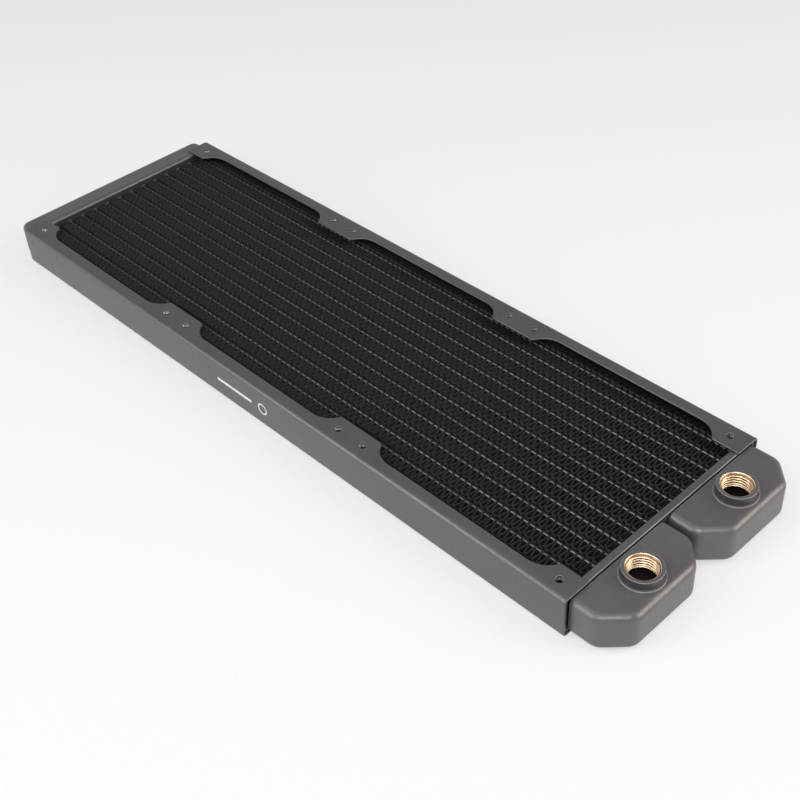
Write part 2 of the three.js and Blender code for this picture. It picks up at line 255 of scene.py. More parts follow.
def inset(points, distance, closed=True):
    """The path moved to its left by a distance, which is inwards for an anticlockwise outline."""
    moved = []
    for i, here in enumerate(points):
        is_first = not closed and i == 0
        is_last = not closed and i == len(points) - 1
        arriving = (here - points[i - 1]).normalized() if not is_first else None
        leaving = (points[(i + 1) % len(points)] - here).normalized() if not is_last else None
        sides = [Vector((-way.y, way.x)) for way in (arriving, leaving) if way is not None]
        middle = sum(sides, Vector((0, 0))).normalized()
        moved.append(here + middle * (distance / middle.dot(sides[0])))
    return moved


def runs_anticlockwise(points):
    """Whether a closed outline runs anticlockwise."""
    pairs = zip(points, points[1:] + points[:1])
    return sum(a.x * b.y - a.y * b.x for a, b in pairs) > 0


def quarter_round(radius, steps=ROUND_STEPS):
    """(inset, depth) along a convex edge, from the face it leaves to the face it joins."""
    angles = [math.pi / 2 * i / steps for i in range(steps + 1)]
    return [(radius * (1 - math.sin(a)), radius * (1 - math.cos(a))) for a in angles]


# ---------------------------------------------------------------------------
# Meshes
# ---------------------------------------------------------------------------


def ring(bm, points):
    """New vertices at the points, in their order."""
    return [bm.verts.new(point) for point in points]


def skin(bm, first, second, closed=True, material=0):
    """Joins two rings with the same number of vertices by a strip of faces."""
    count = len(first)
    for i in range(count if closed else count - 1):
        j = (i + 1) % count
        bm.faces.new((first[i], first[j], second[j], second[i])).material_index = material


def loft(bm, rings, closed=True, material=0):
    """Joins each ring to the next one."""
    for first, second in zip(rings, rings[1:]):
        skin(bm, first, second, closed, material)


def cap(bm, border, holes=(), material=0):
    """Fills a flat border, less its holes, with triangles."""
    loops = [border, *holes]
    vertices = [vertex for loop in loops for vertex in loop]
    for triangle in tessellate_polygon([[vertex.co for vertex in loop] for loop in loops]):
        bm.faces.new([vertices[i] for i in triangle]).material_index = material


def shade_smooth(mesh):
    """Smooth shading, apart from edges sharper than SMOOTH_BELOW."""
    mesh.polygons.foreach_set("use_smooth", [True] * len(mesh.polygons))
    mesh.set_sharp_from_angle(angle=SMOOTH_BELOW)


def add_piece(name, mesh, materials, slot, *nodes):
    """Puts a mesh into the scene as a piece of the radiator that stands for CAD nodes."""
    for material in materials:
        mesh.materials.append(material)
    shade_smooth(mesh)
    piece = bpy.data.objects.new(name, mesh)
    bpy.context.scene.collection.objects.link(piece)
    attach(piece, "root")
    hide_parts(*nodes)
    return piece


def mesh_of(bm, name, turned=False, shift=(0, 0, 0)):
    """The finished mesh, in metres. A turned piece is turned half a turn about Z before it is shifted."""
    bmesh.ops.recalc_face_normals(bm, faces=bm.faces)
    if turned:
        bm.transform(HALF_TURN)
    bm.transform(Matrix.Translation(shift))
    bm.transform(Matrix.Scale(MM, 4))
    mesh = bpy.data.meshes.new(name)
    bm.to_mesh(mesh)
    bm.free()
    return mesh


def thread_groove(turn, along, pitch):
    """Depth of a thread's groove, from 0 on the crest to 1 in the root. turn is a share of a full turn."""
    phase = (along / pitch - turn) % 1
    return min(1.0, max(0.0, GROOVE_SLOPE * abs(phase - 0.5) - CREST_FLAT))


def threaded_wall(crest_radius, height, pitch, start, end, sides, mouth_radius=0.0):
    """Rings of (radius, angle, distance along the bore) for a helical inside thread.

    It fades out at its start. A 45 degree chamfer opens its end to mouth_radius, if that is given.
    """
    rows = round((end - start) / pitch * THREAD_ROWS_PER_TURN)
    turns = [i / sides for i in range(sides)]
    rings = []
    for row in range(rows + 1):
        along = start + (end - start) * row / rows
        fade = min(1.0, 2 * (along - start) / pitch)
        if not mouth_radius:
            fade = min(fade, 2 * (end - along) / pitch)
        chamfer = mouth_radius - (end - along)
        radii = [crest_radius + height * fade * thread_groove(turn, along, pitch) for turn in turns]
        rings.append([(max(radius, chamfer), math.tau * turn, along) for radius, turn in zip(radii, turns)])
    return rings


# ---------------------------------------------------------------------------
# Materials
# ---------------------------------------------------------------------------

# A mix node has sockets for every kind of value. These are the ones that mix colours.
COLOUR_MIX_INPUTS = (0, 6, 7)
COLOUR_MIX_OUTPUT = 2

BLACK = (0, 0, 0)
WHITE = (1, 1, 1)
DUST = (0.45, 0.44, 0.43)
PRINT_INK = (0.75, 0.75, 0.74)


def new_material(name):
    """A material with its node tree and its shader node."""
    material = bpy.data.materials.new(name)
    material.use_nodes = True
    tree = material.node_tree
    shader = tree.nodes["Principled BSDF"]
    return material, tree, shader


def add_node(tree, kind, **settings):
    """A new node. Each setting is the value of one of its inputs, or else one of its properties."""
    node = tree.nodes.new(kind)
    for key, value in settings.items():
        if key in node.inputs:
            node.inputs[key].default_value = value
        else:
            setattr(node, key, value)
    return node


def noise(tree, place, scale, detail=3.0):
    """Noise from 0 to 1. scale is roughly the number of its blotches in a metre."""
    node = add_node(tree, "ShaderNodeTexNoise", Scale=scale, Detail=detail, Roughness=0.55)
    tree.links.new(place, node.inputs["Vector"])
    return node.outputs["Fac"]


def ramp(tree, value, stops):
    """A colour ramp through (position, colour) stops."""
    node = tree.nodes.new("ShaderNodeValToRGB")
    elements = node.color_ramp.elements
    while len(elements) < len(stops):
        elements.new(0.5)
    for element, (position, colour) in zip(elements, stops):
        element.position = position
        element.color = (*colour, 1)
    tree.links.new(value, node.inputs["Fac"])
    return node.outputs["Color"]


def spread(tree, value, low, high, from_low=0.3, from_high=0.7):
    """Maps the values between from_low and from_high to the range from low to high."""
    node = tree.nodes.new("ShaderNodeMapRange")
    for key, number in (("From Min", from_low), ("From Max", from_high), ("To Min", low), ("To Max", high)):
        node.inputs[key].default_value = number
    tree.links.new(value, node.inputs["Value"])
    return node.outputs["Result"]


def math_node(tree, operation, first, second=0.0):
    """The result of an operation. Those with one operand leave out the second one."""
    node = add_node(tree, "ShaderNodeMath", operation=operation)
    for socket, value in zip(node.inputs, (first, second)):
        if isinstance(value, (int, float)):
            socket.default_value = value
        else:
            tree.links.new(value, socket)
    return node.outputs["Value"]


def mix_colour(tree, factor, first, second):
    """The first colour at a factor of 0, the second one at 1."""
    node = add_node(tree, "ShaderNodeMix", data_type="RGBA")
    sockets = [node.inputs[i] for i in COLOUR_MIX_INPUTS]
    for socket, value in zip(sockets, (factor, first, second)):
        if isinstance(value, tuple):
            socket.default_value = (*value, 1)
        elif isinstance(value, (int, float)):
            socket.default_value = value
        else:
            tree.links.new(value, socket)
    return node.outputs[COLOUR_MIX_OUTPUT]


def add_bumps(tree, shader, heights):
    """Chains bumps given as (height value, depth in metres)."""
    normal = None
    for height, depth in heights:
        bump = add_node(tree, "ShaderNodeBump", Strength=1.0, Distance=depth)
        tree.links.new(height, bump.inputs["Height"])
        if normal is not None:
            tree.links.new(normal, bump.inputs["Normal"])
        normal = bump.outputs["Normal"]
    tree.links.new(normal, shader.inputs["Normal"])


def object_place(tree):
    """The shaded point in the piece's own frame, in metres."""
    return tree.nodes.new("ShaderNodeTexCoord").outputs["Object"]


def print_mask(tree, place):
    """1 inside the plain print on the right channel's web, a bar and a ring, and 0 elsewhere."""
    axes = add_node(tree, "ShaderNodeSeparateXYZ")
    tree.links.new(place, axes.inputs["Vector"])
    x, y, z = axes.outputs
    on_web = math_node(tree, "LESS_THAN", y, -(OUTSIDE_Y - PRINT_SKIN) * MM)
    from_middle = math_node(tree, "ABSOLUTE", math_node(tree, "SUBTRACT", z, MID_Z * MM))
    from_bar = math_node(tree, "ABSOLUTE", math_node(tree, "SUBTRACT", x, PRINT_BAR_X * MM))
    in_length = math_node(tree, "LESS_THAN", from_bar, PRINT_BAR_LENGTH / 2 * MM)
    in_height = math_node(tree, "LESS_THAN", from_middle, PRINT_BAR_HEIGHT / 2 * MM)
    bar = math_node(tree, "MULTIPLY", in_length, in_height)
    from_ring_x = math_node(tree, "SUBTRACT", x, PRINT_RING_X * MM)
    along_squared = math_node(tree, "POWER", from_ring_x, 2)
    across_squared = math_node(tree, "POWER", from_middle, 2)
    square = math_node(tree, "ADD", along_squared, across_squared)
    from_ring = math_node(tree, "SUBTRACT", math_node(tree, "SQRT", square), PRINT_RING_RADIUS * MM)
    distance = math_node(tree, "ABSOLUTE", from_ring)
    ring_line = math_node(tree, "LESS_THAN", distance, PRINT_RING_LINE / 2 * MM)
    shape = math_node(tree, "MAXIMUM", bar, ring_line)
    return math_node(tree, "MULTIPLY", shape, on_web)


def satin_paint(name, dark, light, roughness, with_print=False):
    """Satin powder paint: a fine grain over a soft orange peel, with cloudy patches and a little dust."""
    material, tree, shader = new_material(name)
    place = object_place(tree)
    clouds = noise(tree, place, 45.0)
    grain = noise(tree, place, 2600.0, detail=2.0)
    peel = noise(tree, place, 620.0, detail=2.0)
    colour = ramp(tree, clouds, [(0.3, dark), (0.7, light)])
    specks = ramp(tree, noise(tree, place, 1500.0, detail=1.0), [(0.74, BLACK), (0.8, WHITE)])
    colour = mix_colour(tree, math_node(tree, "MULTIPLY", specks, 0.12), colour, DUST)
    if with_print:
        wear_and_edge_highlight = spread(tree, grain, 0.75, 0.95)
        inked = math_node(tree, "MULTIPLY", print_mask(tree, place), wear_and_edge_highlight)
        colour = mix_colour(tree, inked, colour, PRINT_INK)
    tree.links.new(colour, shader.inputs["Base Color"])
    tree.links.new(spread(tree, peel, roughness - 0.06, roughness + 0.06), shader.inputs["Roughness"])
    shader.inputs["Specular IOR Level"].default_value = 1.0
    add_bumps(tree, shader, [(peel, 0.00006), (grain, 0.000025)])
    return material


def core_paint(name, painted, deep, roughness, return_end_share):
    """Thin black spray paint with painted shade: it gets darker deep inside the core, and browner there
    where the copper shows through.

    It also gets darker towards the return tank, a painted shade, down to return_end_share of its colour at
    the ports.
    """
    material, tree, shader = new_material(name)
    place = object_place(tree)
    axes = add_node(tree, "ShaderNodeSeparateXYZ")
    tree.links.new(place, axes.inputs["Vector"])
    from_middle = math_node(tree, "ABSOLUTE", math_node(tree, "SUBTRACT", axes.outputs["Z"], MID_Z * MM))
    # Painted shade: the colour darkens deep inside the core, with random patches.
    unshaded_by_depth = spread(tree, from_middle, 0.0, 1.0, CORE_FULL_SHADE_Z * MM, CORE_SHADE_END_Z * MM)
    patches = noise(tree, place, 260.0)
    unshaded = math_node(tree, "ADD", unshaded_by_depth, spread(tree, patches, 0.0, 0.2))
    colour = mix_colour(tree, math_node(tree, "MINIMUM", unshaded, 1.0), deep, painted)
    # Painted shade towards the return tank.
    share = spread(tree, axes.outputs["X"], return_end_share, 1.0, -HALF_LENGTH * MM, HALF_LENGTH * MM)
    tree.links.new(mix_colour(tree, share, BLACK, colour), shader.inputs["Base Color"])
    grain = noise(tree, place, 3000.0, detail=2.0)
    tree.links.new(spread(tree, patches, roughness - 0.08, roughness + 0.08), shader.inputs["Roughness"])
    shader.inputs["Specular IOR Level"].default_value = 0.2
    add_bumps(tree, shader, [(patches, 0.0001), (grain, 0.00003)])
    return material


def bare_metal(name, colour, dull, roughness):
    """Cut metal with fine tool marks that run round, slightly tarnished in patches."""
    material, tree, shader = new_material(name)
    place = object_place(tree)
    patches = noise(tree, place, 700.0)
    stretched = add_node(tree, "ShaderNodeMapping")
    stretched.inputs["Scale"].default_value = (1, 1, 12)
    tree.links.new(place, stretched.inputs["Vector"])
    marks = noise(tree, stretched.outputs["Vector"], 900.0, detail=2.0)
    tree.links.new(ramp(tree, patches, [(0.35, dull), (0.6, colour)]), shader.inputs["Base Color"])
    tree.links.new(spread(tree, marks, roughness - 0.06, roughness + 0.1), shader.inputs["Roughness"])
    shader.inputs["Metallic"].default_value = 1.0
    add_bumps(tree, shader, [(marks, 0.00002)])
    return material


HOUSING_LOOK = ((0.044, 0.043, 0.045), (0.053, 0.052, 0.054), 0.37)
HOUSING_PAINT = satin_paint("housing_paint", *HOUSING_LOOK)
PRINTED_PAINT = satin_paint("housing_paint_printed", *HOUSING_LOOK, with_print=True)
TANK_PAINT = satin_paint("tank_paint", (0.061, 0.056, 0.058), (0.073, 0.067, 0.069), 0.37)
# A darker paint for the bushing's outer wall, standing in as painted shade.
BUSHING_WALL_SHADE = satin_paint("bushing_wall_painted_shade", (0.022, 0.020, 0.021), (0.030, 0.028, 0.028), 0.42)
# A lighter paint on rounded edges and rims, standing in as a painted highlight.
EDGE_HIGHLIGHT_PAINT = satin_paint("edge_painted_highlight", (0.125, 0.12, 0.12), (0.17, 0.163, 0.163), 0.4)
# The core's paints carry painted shade, deep inside the core and towards the return tank.
TUBE_PAINT = core_paint("tube_paint", (0.016, 0.015, 0.0145), (0.020, 0.012, 0.008), 0.62, 0.9)
FIN_PAINT = core_paint("fin_paint", (0.044, 0.041, 0.039), (0.010, 0.007, 0.006), 0.5, 0.85)
# The beads' and fillets' solder colour, made light so that it stands in as a painted highlight along the
# fins' crests.
BEAD_SOLDER_AND_HIGHLIGHT = core_paint("fin_bead_solder_and_highlight", (0.20, 0.195, 0.19), (0.080, 0.052, 0.036), 0.45, 0.3)
BRASS = bare_metal("brass", (0.90, 0.72, 0.50), (0.74, 0.53, 0.34), 0.44)
# Darker brass for the thread's roots, a painted shade.
BRASS_ROOT_SHADE = bare_metal("brass_root_painted_shade", (0.34, 0.21, 0.12), (0.22, 0.13, 0.07), 0.5)
BARE_STEEL = bare_metal("bare_steel", (0.42, 0.43, 0.45), (0.28, 0.29, 0.31), 0.3)

# The materials of each kind of piece. The first one covers whatever is given no other.
PAN_PAINTS = (HOUSING_PAINT, FIN_PAINT, BEAD_SOLDER_AND_HIGHLIGHT, EDGE_HIGHLIGHT_PAINT)
FIN_PAINTS = (FIN_PAINT, BEAD_SOLDER_AND_HIGHLIGHT)
TANK_PAINTS = (TANK_PAINT, EDGE_HIGHLIGHT_PAINT)
BUSHING_PAINTS = (TANK_PAINT, BRASS, BRASS_ROOT_SHADE, EDGE_HIGHLIGHT_PAINT, BUSHING_WALL_SHADE)

# ---------------------------------------------------------------------------
# Side channels
# ---------------------------------------------------------------------------

WEB_HALF = MID_Z - BEND_RADIUS
FLANGE_V = WEB_HALF + BEND_RADIUS * math.pi / 2

# Place of the bare steel in a channel's list of materials.
HOLE_MATERIAL = 1


def flange_v(y):
    """Distance of a flange point from the web's middle, measured along the outside of the sheet."""
    return FLANGE_V + FLANGE_LINE_Y - y


def folded(x, v, depth):
    """Where a point of the flat sheet lies after folding. depth is its distance under the outer face."""
    side = math.copysign(1, v)
    along = abs(v)
    if along <= WEB_HALF:
        return Vector((x, OUTSIDE_Y - depth, MID_Z + v))
    if along < FLANGE_V:
        angle = (along - WEB_HALF) / BEND_RADIUS
        radius = BEND_RADIUS - depth
        rise = WEB_HALF + radius * math.sin(angle)
        return Vector((x, FLANGE_LINE_Y + radius * math.cos(angle), MID_Z + side * rise))
    return Vector((x, FLANGE_LINE_Y + FLANGE_V - along, MID_Z + side * (MID_Z - depth)))


def bay_end():
    """Edge of one end of a fan's bay, from its floor to the tab edge, as (distance from the fan, y)."""
    arc_centre = (BAY_ARC_FROM_FAN, BAY_FLOOR_Y - BAY_ARC_RADIUS)
    between_centres = BAY_ARC_RADIUS + TAB_CORNER_RADIUS
    corner_y = TAB_Y + TAB_CORNER_RADIUS
    meeting = math.asin((corner_y - arc_centre[1]) / between_centres)
    corner_centre = (arc_centre[0] + between_centres * math.cos(meeting), corner_y)
    bay = arc(arc_centre, BAY_ARC_RADIUS, math.pi / 2, meeting, BAY_ARC_STEPS)
    corner = arc(corner_centre, TAB_CORNER_RADIUS, math.pi + meeting, 3 * math.pi / 2, TAB_CORNER_STEPS)
    return bay + corner[1:]


def flange_edge():
    """The flange's free edge as (x, v), from end to end."""
    end = bay_end()
    edge = [Vector((-HALF_LENGTH, flange_v(TAB_Y)))]
    for fan_x in FAN_OFFSETS:
        edge.extend(Vector((fan_x - point.x, flange_v(point.y))) for point in reversed(end))
        edge.extend(Vector((fan_x + point.x, flange_v(point.y))) for point in end)
    edge.append(Vector((HALF_LENGTH, flange_v(TAB_Y))))
    return edge


def fold_rows():
    """Rows of v across the two bends and the web, from the lower flange to the upper one."""
    bend = [WEB_HALF + (FLANGE_V - WEB_HALF) * i / BEND_STEPS for i in range(BEND_STEPS + 1)]
    return [-v for v in reversed(bend)] + bend


def collar_profile():
    """(radius, depth) of a screw collar below its thread, from the thread's end to the inner face."""
    bottom = SHEET + COLLAR_REACH
    inner_lip = [(HOLE_RADIUS + SHEET_EDGE - i, bottom - d) for i, d in reversed(quarter_round(SHEET_EDGE))]
    outer_lip = [(COLLAR_RADIUS - i, bottom - d) for i, d in quarter_round(SHEET_EDGE)]
    fillet = [(COLLAR_RADIUS + d, SHEET + i) for i, d in quarter_round(COLLAR_FILLET)]
    return inner_lip + outer_lip + fillet + [(COLLAR_RADIUS + COLLAR_FILLET + HOLD, SHEET)]


def screw_hole(bm, x, side):
    """A tapped hole with its collar. Returns its rings on the outer and the inner face."""
    centre_v = flange_v(SCREW_SPACING / 2)

    def place(radius, angle, depth):
        return folded(x + radius * math.cos(angle), side * (centre_v + radius * math.sin(angle)), depth)

    def round_ring(radius, depth):
        return ring(bm, [place(radius, math.tau * i / HOLE_SIDES, depth) for i in range(HOLE_SIDES)])

    lip = [(HOLE_RADIUS + i, d) for i, d in quarter_round(SHEET_EDGE)]
    painted = [round_ring(*spot) for spot in [(HOLE_RADIUS + SHEET_EDGE + HOLD, 0), *lip]]
    thread_end = SHEET + COLLAR_REACH - SHEET_EDGE
    wall = threaded_wall(
        HOLE_RADIUS, HOLE_THREAD_HEIGHT, HOLE_THREAD_PITCH, SHEET_EDGE, thread_end, HOLE_SIDES
    )
    threads = [ring(bm, [place(*spot) for spot in row]) for row in wall[1:-1]]
    collar = [round_ring(*spot) for spot in collar_profile()]
    loft(bm, painted)
    loft(bm, [painted[-1], *threads, collar[0]], material=HOLE_MATERIAL)
    loft(bm, collar)
    return painted[0], collar[-1]


def side_channel(name, turned, paint):
    """A folded channel. Its flat pattern is meshed, rounded along its edge and folded."""
    bm = bmesh.new()
    edge = flange_edge()
    rows = fold_rows()
    lower = [Vector((point.x, -point.y)) for point in edge]
    right = [Vector((HALF_LENGTH, v)) for v in rows]
    upper = list(reversed(edge))
    left = [Vector((-HALF_LENGTH, v)) for v in reversed(rows)]
    pattern = lower + right + upper + left
    rim = quarter_round(SHEET_EDGE)
    spots = [(SHEET_EDGE + HOLD, 0), *rim]
    spots += [(i, SHEET - d) for i, d in reversed(spots)]
    rings = []
    for moved_in, depth in spots:
        rings.append(ring(bm, [folded(point.x, point.y, depth) for point in inset(pattern, moved_in)]))
    loft(bm, rings)
    screws = [fan_x + side * SCREW_SPACING / 2 for fan_x in FAN_OFFSETS for side in (-1, 1)]
    holes = {side: [screw_hole(bm, x, side) for x in screws] for side in (-1, 1)}
    starts = (0, len(lower), len(lower) + len(right), len(lower) + len(right) + len(upper))
    for face, border in ((0, rings[0]), (1, rings[-1])):
        lower_edge = border[starts[0]:starts[1]]
        right_end = border[starts[1]:starts[2]]
        upper_edge = border[starts[2]:starts[3]]
        left_end = border[starts[3]:]
        cap(bm, [*lower_edge, right_end[0], left_end[-1]], [hole[face] for hole in holes[-1]])
        cap(bm, [*upper_edge, left_end[0], right_end[-1]], [hole[face] for hole in holes[1]])
        skin(bm, right_end, list(reversed(left_end)), closed=False)
    mesh = mesh_of(bm, name, turned, (PATTERN_X, 0, 0))
    return add_piece(f"{name}_sheet", mesh, [paint, BARE_STEEL], "housing_paint", name)


# ---------------------------------------------------------------------------
# Flat tubes and fin strips
# ---------------------------------------------------------------------------


def flat_tube_section(half_thickness, half_depth, margin):
    """Section of a flat tube in Y and Z, with round noses, grown by a margin."""
    radius = half_thickness + margin
    straight = half_depth - half_thickness
    top = arc((0, straight), radius, 0, math.pi, NOSE_STEPS)
    bottom = arc((0, -straight), radius, math.pi, math.tau, NOSE_STEPS)
    return top + bottom


def tube_half_sizes():
    """Half the thickness and half the depth of a tube. All tubes are alike."""
    low, high = box_mm(TUBE_NAMES[0])
    return (high.y - low.y) / 2, (high.z - low.z) / 2


def flat_tube(name):
    """A flat tube, open at both ends."""
    bm = bmesh.new()
    low, high = box_mm(name)
    middle_y = (low.y + high.y) / 2
    half_thickness, half_depth = tube_half_sizes()

    def section(margin, x):
        points = flat_tube_section(half_thickness, half_depth, margin)
        return ring(bm, [(x, middle_y + point.x, MID_Z + point.y) for point in points])

    edge = quarter_round(TUBE_RIM_EDGE)
    outside_start = [section(-i, low.x + d) for i, d in edge]
    outside_end = [section(-i, high.x - d) for i, d in reversed(edge)]
    inside_end = [section(-TUBE_WALL + i, high.x - d) for i, d in edge]
    inside_start = [section(-TUBE_WALL + i, low.x + d) for i, d in reversed(edge)]
    rings = outside_start + outside_end + inside_end + inside_start
    loft(bm, [*rings, rings[0]])
    return add_piece(f"{name}_wall", mesh_of(bm, name), [TUBE_PAINT], "tube_paint", name)


def fold_line(half_length, half_height, chance):
    """Centre line of a folded strip, whose crests all tilt the same way."""
    count = int(2 * half_length / FOLD_PITCH)
    pitch = 2 * half_length / count
    corners = []
    for i in range(2 * count):
        side = 1 if i % 2 else -1
        middle = -half_length + pitch * (i + 0.5) / 2 + chance.gauss(0, FOLD_JITTER / 2)
        half_crest = CREST_LENGTH / 2 + chance.uniform(-FOLD_JITTER, FOLD_JITTER)
        crest_ends = [(-half_crest, half_height), (half_crest, half_height - CREST_TILT)]
        if side < 0:
            crest_ends = [(-half_crest, CREST_TILT - half_height), (half_crest, -half_height)]
        corners.extend((middle + x, y, FOLD_CORNER_RADIUS) for x, y in crest_ends)
    return rounded_path(corners, FOLD_CORNER_STEPS)


def fin_levels(low, high):
    """(z, louvre swing, bead share, sheet share) for each level of a fin strip, from the bottom up."""
    inner_low, inner_high = low + BEAD_REACH, high - BEAD_REACH
    louvres = [inner_low + (inner_high - inner_low) * i / LOUVRE_ROWS for i in range(LOUVRE_ROWS + 1)]
    levels = [(z, 1 if i % 2 else -1, 0.0, 1.0) for i, z in enumerate(louvres)]
    levels[0] = (inner_low, 0, 0.0, 1.0)
    levels[-1] = (inner_high, 0, 0.0, 1.0)
    bottom = [(low + rise, 0, bead, sheet) for rise, bead, sheet in EDGE_LEVELS]
    top = [(high - rise, 0, bead, sheet) for rise, bead, sheet in reversed(EDGE_LEVELS)]
    return bottom + levels + top


def crest_shares(centre, half_height):
    """Share of the solder bead at each point of a centre line: 1 on a +Y crest, and 0 well away from it."""
    return np.clip((centre[:, 1] / half_height - (1 - BEAD_FADE)) / BEAD_FADE, 0, 1)


def wall_shares(centre, half_height):
    """Share of the louvres' swing at each point of a centre line: 1 in mid-wall, and 0 on a crest."""
    return 1 - np.clip(np.abs(centre[:, 1]) / half_height / LOUVRE_SHARE, 0, 1) ** 4


def fin_strip(name, number):
    """A folded strip. Its +Y crests get a solder bead along both edges, and its walls get louvres."""
    chance = random.Random(number)
    low, high = box_mm(name)
    middle_y = (low.y + high.y) / 2
    half_height = (high.y - low.y) / 2 + FIN_SIDE_GAP - FIN_SHEET / 2
    line = fold_line((high.x - low.x) / 2 - FIN_END_GAP, half_height, chance)
    centre = np.array([(point.x, point.y) for point in line])
    way = np.gradient(centre, axis=0)
    way /= np.linalg.norm(way, axis=1)[:, None]
    across = np.stack([-way[:, 1], way[:, 0]], axis=1)
    crest = crest_shares(centre, half_height)
    wall = wall_shares(centre, half_height)
    row = 1 if number % 2 else -1
    bead_thickness = BEAD_THICKNESS + row * BEAD_VARIATION
    sections = []
    for z, swing, bead, share in fin_levels(low.z + FIN_DEPTH_STAGGER, high.z - FIN_DEPTH_STAGGER):
        half_sheet = (FIN_SHEET * share + bead_thickness * bead * crest) / 2
        moved = centre + np.stack([wall * LOUVRE_SWING * swing, np.zeros_like(wall)], axis=1)
        near = moved + across * half_sheet[:, None]
        far = moved - across * half_sheet[:, None]
        around = np.concatenate([near, far[::-1]])
        heights = np.full(len(around), z + row * FIN_DEPTH_STAGGER)
        sections.append(np.column_stack([around[:, 0] + PATTERN_X, around[:, 1] + middle_y, heights]))
    vertices = np.concatenate(sections) * MM
    walls, edges = strip_faces(len(sections[0]), len(sections))
    mesh = bpy.data.meshes.new(name)
    mesh.from_pydata(vertices.tolist(), [], walls + edges)
    on_bead = bead_faces(crest, len(sections))
    mesh.polygons.foreach_set("material_index", on_bead)
    return add_piece(f"{name}_folds", mesh, FIN_PAINTS, "fin_paint", name)


def strip_faces(around, level_count):
    """Faces of a lofted strip: its walls, then its bottom and top edges across the sheet."""
    walls = []
    for level in range(level_count - 1):
        base = level * around
        for i in range(around):
            j = (i + 1) % around
            walls.append((base + i, base + i + around, base + j + around, base + j))
    edges = []
    top = (level_count - 1) * around
    for i in range(around // 2 - 1):
        opposite = around - 1 - i
        edges.append((i, i + 1, opposite - 1, opposite))
        edges.append((top + i, top + opposite, top + opposite - 1, top + i + 1))
    return walls, edges


def bead_faces(crest, level_count):
    """The place in FIN_PAINTS of each face's material, in the order of strip_faces."""
    both_sides = np.concatenate([crest, crest[::-1]])
    around = (both_sides > BEAD_FACE_SHARE) & (np.roll(both_sides, -1) > BEAD_FACE_SHARE)
    is_bead_level = [level in (0, 1, level_count - 3, level_count - 2) for level in range(level_count - 1)]
    walls = np.concatenate([around * is_bead for is_bead in is_bead_level])
    edges = np.repeat(around[:len(crest) - 1], 2)
    return np.concatenate([walls, edges]).astype(int)


# ---------------------------------------------------------------------------
# Header pans
# ---------------------------------------------------------------------------


def header_pan(name, turned):
    """A pressed pan with a solder fillet round each tube. It is drawn at the port end."""
    bm = bmesh.new()
    low, high = box_mm("header_plate_port")
    floor_x, rim_x = low.x - PATTERN_X, high.x - PATTERN_X
    half_width, half_height = (high.y - low.y) / 2, (high.z - low.z) / 2
    half_thickness, half_depth = tube_half_sizes()

    def outline(moved_in, x):
        radius = max(PAN_CORNER - moved_in, HOLD)
        points = rounded_rectangle(half_width - moved_in, half_height - moved_in, radius, ROUND_STEPS)
        return ring(bm, [(x, point.x, MID_Z + point.y) for point in points])

    def tube_ring(y, margin, x):
        points = flat_tube_section(half_thickness, half_depth, margin)
        return ring(bm, [(x, y + point.x, MID_Z + point.y) for point in points])

    floor_inside = floor_x + PAN_WALL
    outside = [outline(PAN_FLOOR_EDGE + HOLD, floor_x)]
    floor_edge = [*quarter_round(PAN_FLOOR_EDGE), (0, PAN_FLOOR_EDGE + HOLD)]
    rim_edge = [*quarter_round(PAN_RIM_EDGE), (0, PAN_RIM_EDGE + HOLD)]
    outside += [outline(i, floor_x + d) for i, d in floor_edge]
    outside += [outline(i, rim_x - d) for i, d in reversed(rim_edge)]
    inside = [outline(PAN_WALL - i, rim_x - d) for i, d in rim_edge]
    inside += [outline(PAN_WALL + d, floor_inside + i) for i, d in quarter_round(INNER_FOOT)]
    inside += [outline(PAN_WALL + INNER_FOOT + HOLD, floor_inside)]
    edge_start = -len(rim_edge) + 1
    loft(bm, outside[:edge_start])
    # The rim's rounded edge takes the lighter edge paint, a painted highlight.
    loft(bm, outside[edge_start - 1:], material=PAN_PAINTS.index(EDGE_HIGHLIGHT_PAINT))
    loft(bm, [outside[-1], *inside])
    core_side, tank_side = [], []
    for tube in TUBE_NAMES:
        tube_low, tube_high = box_mm(tube)
        y = (tube_low.y + tube_high.y) / 2
        rings = [tube_ring(y, SOLDER_FOOT + HOLD, floor_x)]
        for i, d in reversed(quarter_round(1)):
            rings.append(tube_ring(y, SOLDER_FOOT * d, floor_x - SOLDER_CLIMB * i))
        for i, d in quarter_round(INNER_FOOT):
            rings.append(tube_ring(y, d, floor_inside + i))
        rings.append(tube_ring(y, INNER_FOOT + HOLD, floor_inside))
        loft(bm, rings, material=PAN_PAINTS.index(BEAD_SOLDER_AND_HIGHLIGHT))
        core_side.append(rings[0])
        tank_side.append(rings[-1])
    # The pan's faces towards the core and the tank take the core's paint, with its painted shade.
    cap(bm, outside[0], core_side, material=PAN_PAINTS.index(FIN_PAINT))
    cap(bm, inside[-1], tank_side, material=PAN_PAINTS.index(FIN_PAINT))
    mesh = mesh_of(bm, name, turned, (PATTERN_X, 0, 0))
    return add_piece(f"{name}_pan", mesh, PAN_PAINTS, "housing_paint", name)


# ---------------------------------------------------------------------------
# Tanks
# ---------------------------------------------------------------------------


